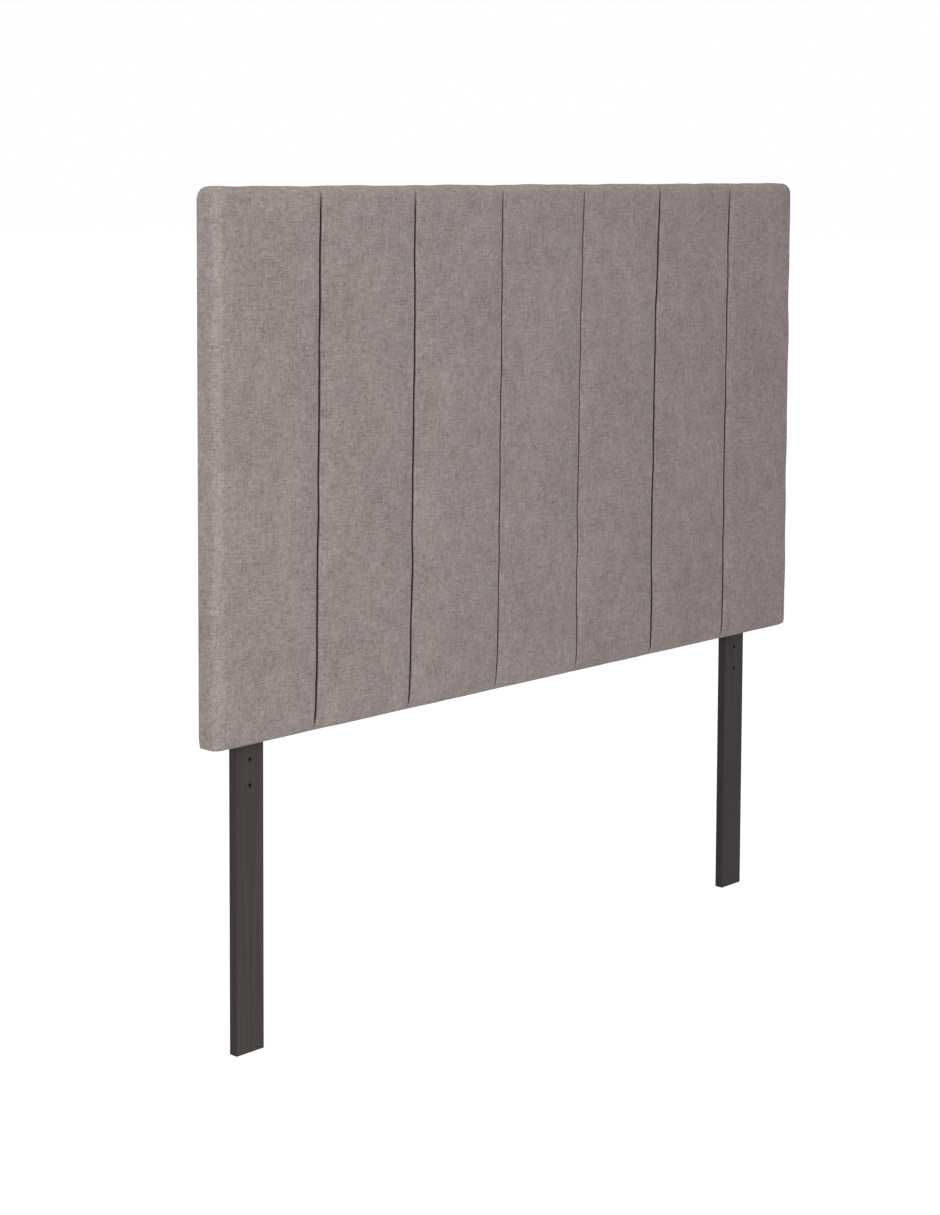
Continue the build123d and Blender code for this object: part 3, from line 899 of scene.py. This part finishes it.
def staple_wires(material):
    """Staples: a flattened wire carried along a crown, two bends and two legs with cut points."""
    corner = np.linspace(0, math.pi / 2, 4)
    sin, cos = np.sin(corner), np.cos(corner)
    half = STAPLE_CROWN / 2
    tip = STAPLE_LEG - STAPLE_THICK
    bend_across = half - STAPLE_BEND + STAPLE_BEND * sin
    bend = [bend_across, STAPLE_BEND * (1 - cos), sin, -cos, np.ones(len(corner))]
    leg = [[half, half], [tip * STAPLE_SHANK_SHARE, tip], [1, 1], [0, 0], [1, STAPLE_POINT_SHARE]]
    line = np.concatenate([bend, leg], 1)[..., None]
    mirrored = line[:, ::-1] * np.array([-1, 1, -1, 1, 1])[:, None, None]
    across, deep, outward_across, outward_deep, size = np.concatenate([mirrored, line], 1)
    angle = math.tau * (np.arange(STAPLE_SIDES) + 0.5) / STAPLE_SIDES
    thick = STAPLE_THICK / 2 * np.cos(angle) / math.cos(math.pi / STAPLE_SIDES)
    wide = STAPLE_WIDE / 2 * np.sin(angle) / math.cos(math.pi / STAPLE_SIDES) * size
    across = across + outward_across * size * (thick - STAPLE_THICK / 2)
    deep = deep + outward_deep * thick * size
    x, z, upright = staple_places().T[..., None, None]
    chance = np.random.default_rng(SEED)
    tilt = chance.normal(0, STAPLE_TILT, x.shape) + upright * math.pi / 2
    cos, sin = np.cos(tilt), np.sin(tilt)
    places = grid(x + across * cos - wide * sin, DUST_HIGH.y - deep, z + across * sin + wide * cos)
    index = np.arange(places[..., 0].size).reshape(places.shape[:-1])
    after = np.roll(index, -1, 2)
    quads = np.stack([index[:, :-1], after[:, :-1], after[:, 1:], index[:, 1:]], -1)
    faces = quads.reshape(-1, 4).tolist()
    faces += index[:, 0, ::-1].tolist() + index[:, -1].tolist()
    piece = mesh_piece("staple_wires", places.reshape(-1, 3), faces)
    place_piece(piece, material, "back_staples")


def dust_lines(low, high, middles):
    """Lines of the dust cloth between its edges, and each line's layer: 1 in the turned-in hem, a
    half on the fold and 0 outside. Lines close to the bolt holes stand at the holes' own places."""
    hem = np.linspace(DUST_HEM, DUST_LINES[0], 4)
    first = np.concatenate([low + hem, [low], low + DUST_LINES])
    last = np.concatenate([high - DUST_LINES[::-1], [high], high - hem[::-1]])
    stops = [low + DUST_LINES[-1]]
    inner = []
    for middle in middles:
        inner.append(even(stops[-1], middle + HOLE_LINES[0], DUST_PITCH)[1:-1])
        inner.append(middle + HOLE_LINES)
        stops.append(middle + HOLE_LINES[-1])
    inner.append(even(stops[-1], high - DUST_LINES[-1], DUST_PITCH)[1:-1])
    inner = np.concatenate(inner)
    outside = np.zeros(len(DUST_LINES))
    turned_in = np.ones(len(hem))
    layer = [turned_in, [0.5], outside, 0 * inner, outside, [0.5], turned_in]
    return np.concatenate([first, inner, last]), np.concatenate(layer)


def dust_lift(x, z):
    """How far the dust cloth stands off between two staples of its edge: a sine squared along the
    edge that dies away inwards. It lies flat under the legs."""
    side = PANEL_RIGHT - STAPLE_INSET - STAPLE_PITCH / 2
    low = PANEL_BOTTOM + STAPLE_INSET + STAPLE_PITCH / 2
    high = PANEL_TOP - STAPLE_INSET - STAPLE_PITCH / 2
    lift = np.zeros_like(x)
    along_x = x, spread(-side, side, STAPLE_PITCH), np.minimum(z - DUST_LOW.z, DUST_HIGH.z - z)
    along_z = z, spread(low, high, STAPLE_PITCH), np.minimum(x - DUST_LOW.x, DUST_HIGH.x - x)
    for place, stops, inwards in (along_x, along_z):
        share = (place - stops[0]) / (stops[1] - stops[0])
        lift = np.maximum(lift, np.sin(math.pi * share) ** 2 * np.exp(-inwards / DUST_LIFT_REACH))
    clear = np.clip((np.abs(np.abs(x) - LEG_MIDDLE) - LEG_HALF) / DUST_LIFT_REACH, 0, 1)
    return DUST_LIFT * lift * np.where(z < LEG_HIGH.z, clear, 1)


def dust_pins(points):
    """Points of the dust cloth that are held: its hem, and those under and beside the legs."""
    x, _, z = points.T
    edge = np.minimum(x - DUST_LOW.x, DUST_HIGH.x - x)
    edge = np.minimum(edge, np.minimum(z - DUST_LOW.z, DUST_HIGH.z - z))
    by_leg = np.abs(np.abs(x) - LEG_MIDDLE) < LEG_HALF + DUST_HOLD
    return (edge < DUST_LINES[-1] + MM) | (by_leg & (z < LEG_HIGH.z + DUST_HOLD))


def dust_cloth(material):
    """Dust cloth: a flat sheet with its edges turned in, stapled round and pulled tight.

    The grid folds back on itself at the edges. Round each bolt hole its squares turn into circles:
    a point keeps its direction, and its distance runs from the hole's radius to the square.
    """
    washer_radius = WASHERS_HIGH.x - LEG_MIDDLE
    bolt_z = [WASHERS_LOW.z + washer_radius, WASHERS_HIGH.z - washer_radius]
    x, layer_x = dust_lines(DUST_LOW.x, DUST_HIGH.x, [-LEG_MIDDLE, LEG_MIDDLE])
    z, layer_z = dust_lines(DUST_LOW.z, DUST_HIGH.z, bolt_z)
    layers = grid(layer_x + layer_z[:, None])[..., 0]
    x, z = np.meshgrid(x, z)
    across = np.concatenate([[0], np.cumsum(np.abs(np.diff(x[0])))])
    along = np.concatenate([[0], np.cumsum(np.abs(np.diff(z[:, 0])))])
    outer, inner = HOLE_LINES[-1], HOLE_LINES[4]
    hole = np.zeros(x.shape, bool)
    for hole_x in (-LEG_MIDDLE, LEG_MIDDLE):
        for hole_z in bolt_z:
            dx, dz = x - hole_x, z - hole_z
            longer = np.maximum(np.abs(dx), np.abs(dz))
            share = np.clip((longer - inner) / (outer - inner), 0, 1)
            reach = np.maximum(np.hypot(dx, dz), TINY)
            scale = (1 - share) * BOLT_HOLE_RADIUS / reach + share * outer / np.maximum(longer, TINY)
            near = longer < outer - CLOSE
            x = np.where(near, hole_x + dx * scale, x)
            z = np.where(near, hole_z + dz * scale, z)
            hole |= longer < inner + CLOSE
    y = DUST_HIGH.y - layers * DUST_LAYER
    rows, columns = x.shape
    index = np.arange(rows * columns).reshape(rows, columns)
    quads = np.stack([index[:-1, 1:], index[:-1, :-1], index[1:, :-1], index[1:, 1:]], -1)
    quads = quads.reshape(-1, 4)
    quads = quads[~hole.ravel()[quads].all(1)]
    uv = grid(across, along[:, None]).reshape(-1, 2)[quads]
    points = grid(x, y + dust_lift(x, z), z).reshape(-1, 3)
    used, quads = np.unique(quads, return_inverse=True)
    quads = quads.reshape(-1, 4)
    points = points[used]
    piece = mesh_piece("dust_cloth", points, quads.tolist(), uv)
    settle(piece, dust_pins(points), 0.0, DUST_SLACK, DUST_CAP, DUST_CAP)
    refine(piece, 0, DUST_THICKNESS)
    place_piece(piece, material, "dust_cover")


def carried_over(names, material):
    """Gives the frame's own nodes, whose shape is right, their material."""
    for name in names:
        nodes[name].data.materials.clear()
        nodes[name].data.materials.append(material)


def seen_ray(owner):
    """1 for rays that show the surroundings themselves: to the camera, in gloss and through glass."""
    seen = add(owner, "ShaderNodeLightPath", out="Is Camera Ray")
    for name in ("Is Glossy Ray", "Is Transmission Ray"):
        inputs = {0: seen, 1: add(owner, "ShaderNodeLightPath", out=name)}
        seen = add(owner, "ShaderNodeMath", inputs, operation="MAXIMUM")
    return seen


def studio_floor():
    """Pale floor that the camera sees as white, dimmed only by the object's soft shadow."""
    corners = np.array([[-1, -1, 0], [1, -1, 0], [1, 1, 0], [-1, 1, 0]]) * FLOOR_REACH
    floor = mesh_piece("floor", corners, [[0, 1, 2, 3]])
    material = new_material("pale_floor")
    paint = add(material, "ShaderNodeBsdfDiffuse", {"Color": linear("#E8E8E8")})
    glow = add(material, "ShaderNodeEmission", {"Strength": FLOOR_GLOW})
    inputs = {0: seen_ray(material), 1: FLOOR_GLOW_SHARE}
    share = add(material, "ShaderNodeMath", inputs, operation="MULTIPLY")
    inputs = {0: share, 1: paint, 2: glow}
    mixed = add(material, "ShaderNodeMixShader", inputs)
    add(material, "ShaderNodeOutputMaterial", {"Surface": mixed})
    floor.data.materials.append(material)


def soft_light(name, place, aim, size, power, colour=(1, 1, 1)):
    """Square studio light that faces its aim and isn't seen itself."""
    data = bpy.data.lights.new(name, "AREA")
    data.shape = "SQUARE"
    data.size = size
    data.energy = power
    data.color = colour
    lamp = new_object(name, data)
    lamp.location = place
    direction = Vector(aim) - Vector(place)
    lamp.rotation_euler = direction.to_track_quat("-Z", "Y").to_euler()
    lamp.visible_camera = False


def studio():
    """White surroundings: plain white to the eye, with a softer light on the object. The low light
    stands for what a bright floor in front sends up."""
    world = bpy.data.worlds.new("studio")
    scene.world = world
    world.use_nodes = True
    world.node_tree.nodes.clear()
    inputs = {"Value": seen_ray(world), "To Min": WORLD_LIGHT, "To Max": 1.0}
    strength = add(world, "ShaderNodeMapRange", inputs)
    inputs = {"Color": (1, 1, 1, 1), "Strength": strength}
    light = add(world, "ShaderNodeBackground", inputs)
    add(world, "ShaderNodeOutputWorld", {"Surface": light})
    soft_light("key", (-4.7, -3.45, 2.2), (0, 0, 1), 3, 206, (0.97, 1, 1.01))
    soft_light("overhead", (-0.8, -0.6, 4.4), (0, 0, 1), 2.5, 37)
    soft_light("low", (-0.8, -1.25, 0.3), (-0.1, 0, 0.3), 0.6, 1)


def photo_camera():
    """Camera at the photograph's viewing angle."""
    data = bpy.data.cameras.new("camera")
    camera = new_object("camera", data)
    data.sensor_width = SENSOR
    data.lens = FOCAL_PIXELS / PHOTO_HEIGHT * SENSOR
    data.shift_y = CAMERA_SHIFT
    angles = np.array([CAMERA_AZIMUTH, CAMERA_PITCH, CAMERA_ROLL])
    (sin_a, sin_p, sin_r), (cos_a, cos_p, cos_r) = np.sin(angles), np.cos(angles)
    ahead = np.array([-sin_a * cos_p, cos_a * cos_p, -sin_p])
    right = np.array([cos_a, sin_a, 0])
    up = np.cross(right, ahead)
    matrix = np.eye(4)
    matrix[:3, 0] = cos_r * right + sin_r * up
    matrix[:3, 1] = cos_r * up - sin_r * right
    matrix[:3, 2] = -ahead
    matrix[:3, 3] = CAMERA_PLACE
    camera.matrix_world = Matrix(matrix.tolist())
    scene.camera = camera


scene.view_settings.view_transform = "Standard"
cover_cloth = chenille()
pad_foam = foam()
for index in range(CHANNELS):
    channel_cover(index, cover_cloth)
    foam_block(index, pad_foam)
wadding_band(wadding())
dust_cloth(spunbond())
staple_steel = plated_steel("galvanised_staple_wire", "#8E9092", "#C8CACC", 0.4, 1.5 * MM)
bright_zinc = plated_steel("bright_zinc_steel", "#A9ADB3", "#D6DADF", 0.28, 3 * MM)
staple_wires(staple_steel)
carried_over(["board_staples"], staple_steel)
carried_over(["t_nuts", "leg_bolts", "leg_washers"], bright_zinc)
carried_over(["face_board"], hardboard())
pine = "#B98A55", "#E2BE8C"
upright_pieces = ["side_stile_left", "side_stile_right", "centre_stile"]
upright_pieces += ["leg_batten_left", "leg_batten_right"]
carried_over(["top_rail", "bottom_rail"], wood("planed_pine_rails", *pine, 0, 4 * MM, 0.7))
carried_over(upright_pieces, wood("planed_pine_stiles", *pine, 2, 4 * MM, 0.7))
carried_over(["frame_dowels"], wood("beech_dowel", "#B48A62", "#DDB68E", 2, 2 * MM, 0.6))
# Painted light: the left leg's stain is given lighter than the right's, in place of the stronger light
# that falls on it; the two are lit and shaded copies of one stain
carried_over(["leg_left"], espresso_pine("espresso_pine_left", "#383030", "#47403E"))
carried_over(["leg_right"], espresso_pine("espresso_pine_right", "#2B2423", "#393231"))
studio_floor()
studio()
photo_camera()
